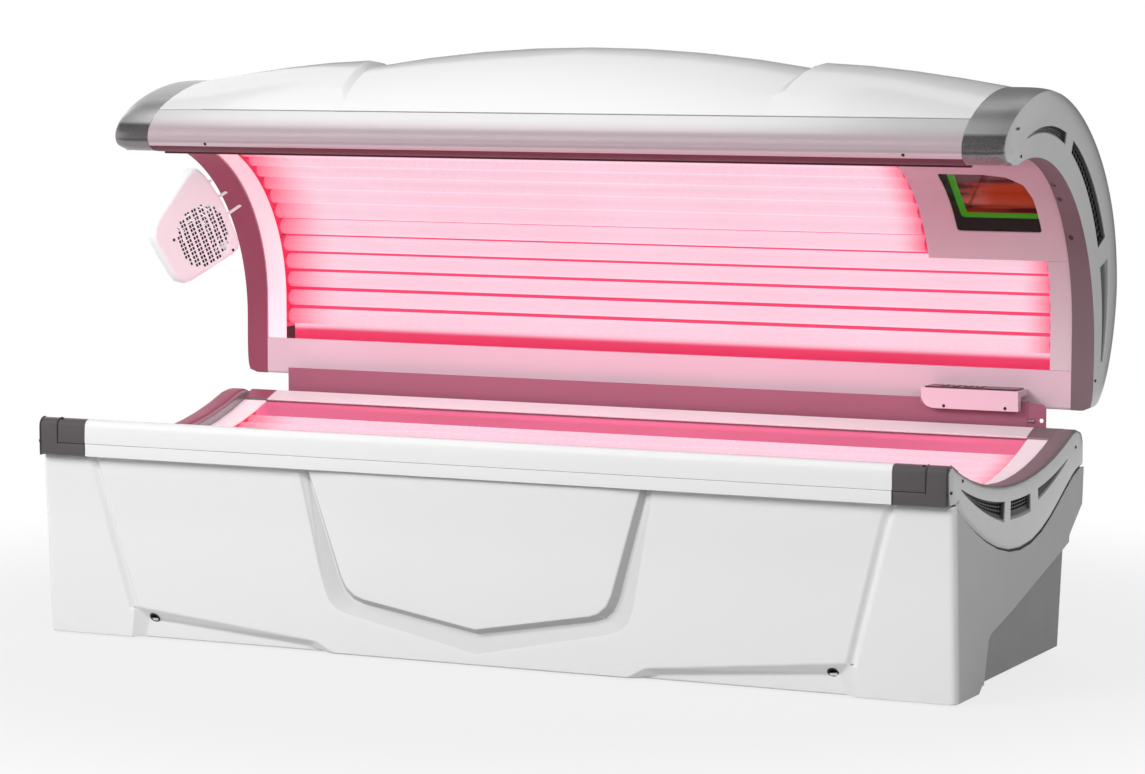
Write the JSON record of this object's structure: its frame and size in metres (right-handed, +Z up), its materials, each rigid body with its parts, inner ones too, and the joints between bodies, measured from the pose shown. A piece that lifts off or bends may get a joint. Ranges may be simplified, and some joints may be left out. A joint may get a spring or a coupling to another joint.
{
  "type": "clamshell tanning bed",
  "caption": "Clamshell tanning bed: a curved lamp bench with a hinged lamp canopy, a filtered face lamp, a control plate and a body fan.",
  "frame": {"origin": "on the floor, under the middle of the bounding box of the open bed", "axes": "+X along the bed towards its head end, +Y towards the hinge side, +Z up"},
  "size_m": [2.2894, 1.145, 1.3402],
  "materials": {
    "gloss_white": "polished moulded skin",
    "silver_grey": "silver-grey lacquered moulding",
    "dark_grey": "dark grey moulding",
    "panel_grey": "powder-coated sheet",
    "shroud_grey": "powder-coated sheet",
    "matt_white": "satin white moulding",
    "acrylic": "clear acrylic sheet",
    "lamp_glass": "coated lamp glass, lit",
    "reflector": "bright rolled sheet",
    "steel": "plain steel",
    "zinc": "zinc plated",
    "ballast": "plated sheet and housings",
    "black_plastic": "black moulding",
    "rubber": "rubber pad",
    "amber_glass": "coated filter glass",
    "smoked_plate": "smoked printed plate"
  },
  "bodies": {
    "bench": {"bench_chassis": "steel", "front_panel": "gloss_white", "rear_panel": "panel_grey", "front_rail": "gloss_white", "front_trim": "gloss_white", "rear_rail": "matt_white", "bench_acrylic": "acrylic", "bench_lamps": "lamp_glass", "bench_reflector": "reflector", "ballast_tray": "ballast", "cooling_fan_frame": "black_plastic", "hinge_shroud": "shroud_grey", "cable_bracket": "shroud_grey", "left_end_panel": "panel_grey", "right_end_panel": "panel_grey", "left_end_cover": "silver_grey", "right_end_cover": "silver_grey", "left_corner_cap": "dark_grey", "right_corner_cap": "dark_grey", "left_rail_plug": "dark_grey", "right_rail_plug": "dark_grey", "left_bench_strip": "matt_white", "right_bench_strip": "matt_white", "left_hinge_bracket": "steel", "right_hinge_bracket": "steel", "left_hinge_pin": "zinc", "right_hinge_pin": "zinc", "left_hinge_spring": "zinc", "right_hinge_spring": "zinc", "front_left_foot": "rubber", "rear_left_foot": "rubber", "front_right_foot": "rubber", "rear_right_foot": "rubber"},
    "canopy": {"canopy_shell": "gloss_white", "canopy_front_rail": "gloss_white", "canopy_lower_rail": "matt_white", "canopy_acrylic": "acrylic", "canopy_reflector": "reflector", "left_canopy_strip": "matt_white", "right_canopy_strip": "matt_white", "canopy_long_lamps": "lamp_glass", "canopy_short_lamps": "lamp_glass", "face_panel": "matt_white", "face_collar": "black_plastic", "face_filter": "amber_glass", "face_lamp_unit": "reflector", "control_housing": "matt_white", "control_plate": "smoked_plate", "body_fan_housing": "matt_white", "body_fan_grille": "matt_white", "left_canopy_cap": "silver_grey", "right_canopy_cap": "silver_grey", "left_hinge_arm": "steel", "right_hinge_arm": "steel"},
    "start_button": {"start_button": "matt_white"},
    "stop_button": {"stop_button": "matt_white"},
    "fan_button": {"fan_button": "matt_white"},
    "face_button": {"face_button": "matt_white"},
    "body_fan_wheel": {"body_fan_rotor": "black_plastic"},
    "cooling_fan_wheel": {"cooling_fan_rotor": "black_plastic"}
  },
  "joints": [
    {"name": "canopy_hinge", "type": "hinge", "parent": "bench", "child": "canopy", "pos_m": [0.0447, 0.3535, 0.50266], "axis": [1, 0, 0], "range_deg": [0, 36]},
    {"name": "start_press", "type": "slide", "parent": "canopy", "child": "start_button", "axis": [0, 0, -1], "range_m": [0, 0.0015], "stiffness_N_per_m": 600, "springref_m": -0.0005},
    {"name": "stop_press", "type": "slide", "parent": "canopy", "child": "stop_button", "axis": [0, 0, -1], "range_m": [0, 0.0015], "stiffness_N_per_m": 600, "springref_m": -0.0005},
    {"name": "fan_press", "type": "slide", "parent": "canopy", "child": "fan_button", "axis": [0, 0, -1], "range_m": [0, 0.0015], "stiffness_N_per_m": 600, "springref_m": -0.0005},
    {"name": "face_press", "type": "slide", "parent": "canopy", "child": "face_button", "axis": [0, 0, -1], "range_m": [0, 0.0015], "stiffness_N_per_m": 600, "springref_m": -0.0005},
    {"name": "body_fan_spin", "type": "hinge", "parent": "canopy", "child": "body_fan_wheel", "pos_m": [-1.06216, 0.17175, 0.87666], "axis": [0.9171, -0.3987, 0], "continuous": true},
    {"name": "cooling_fan_spin", "type": "hinge", "parent": "bench", "child": "cooling_fan_wheel", "pos_m": [0.6047, 0.1132, 0.1433], "axis": [0, 1, 0], "continuous": true}
  ]
}
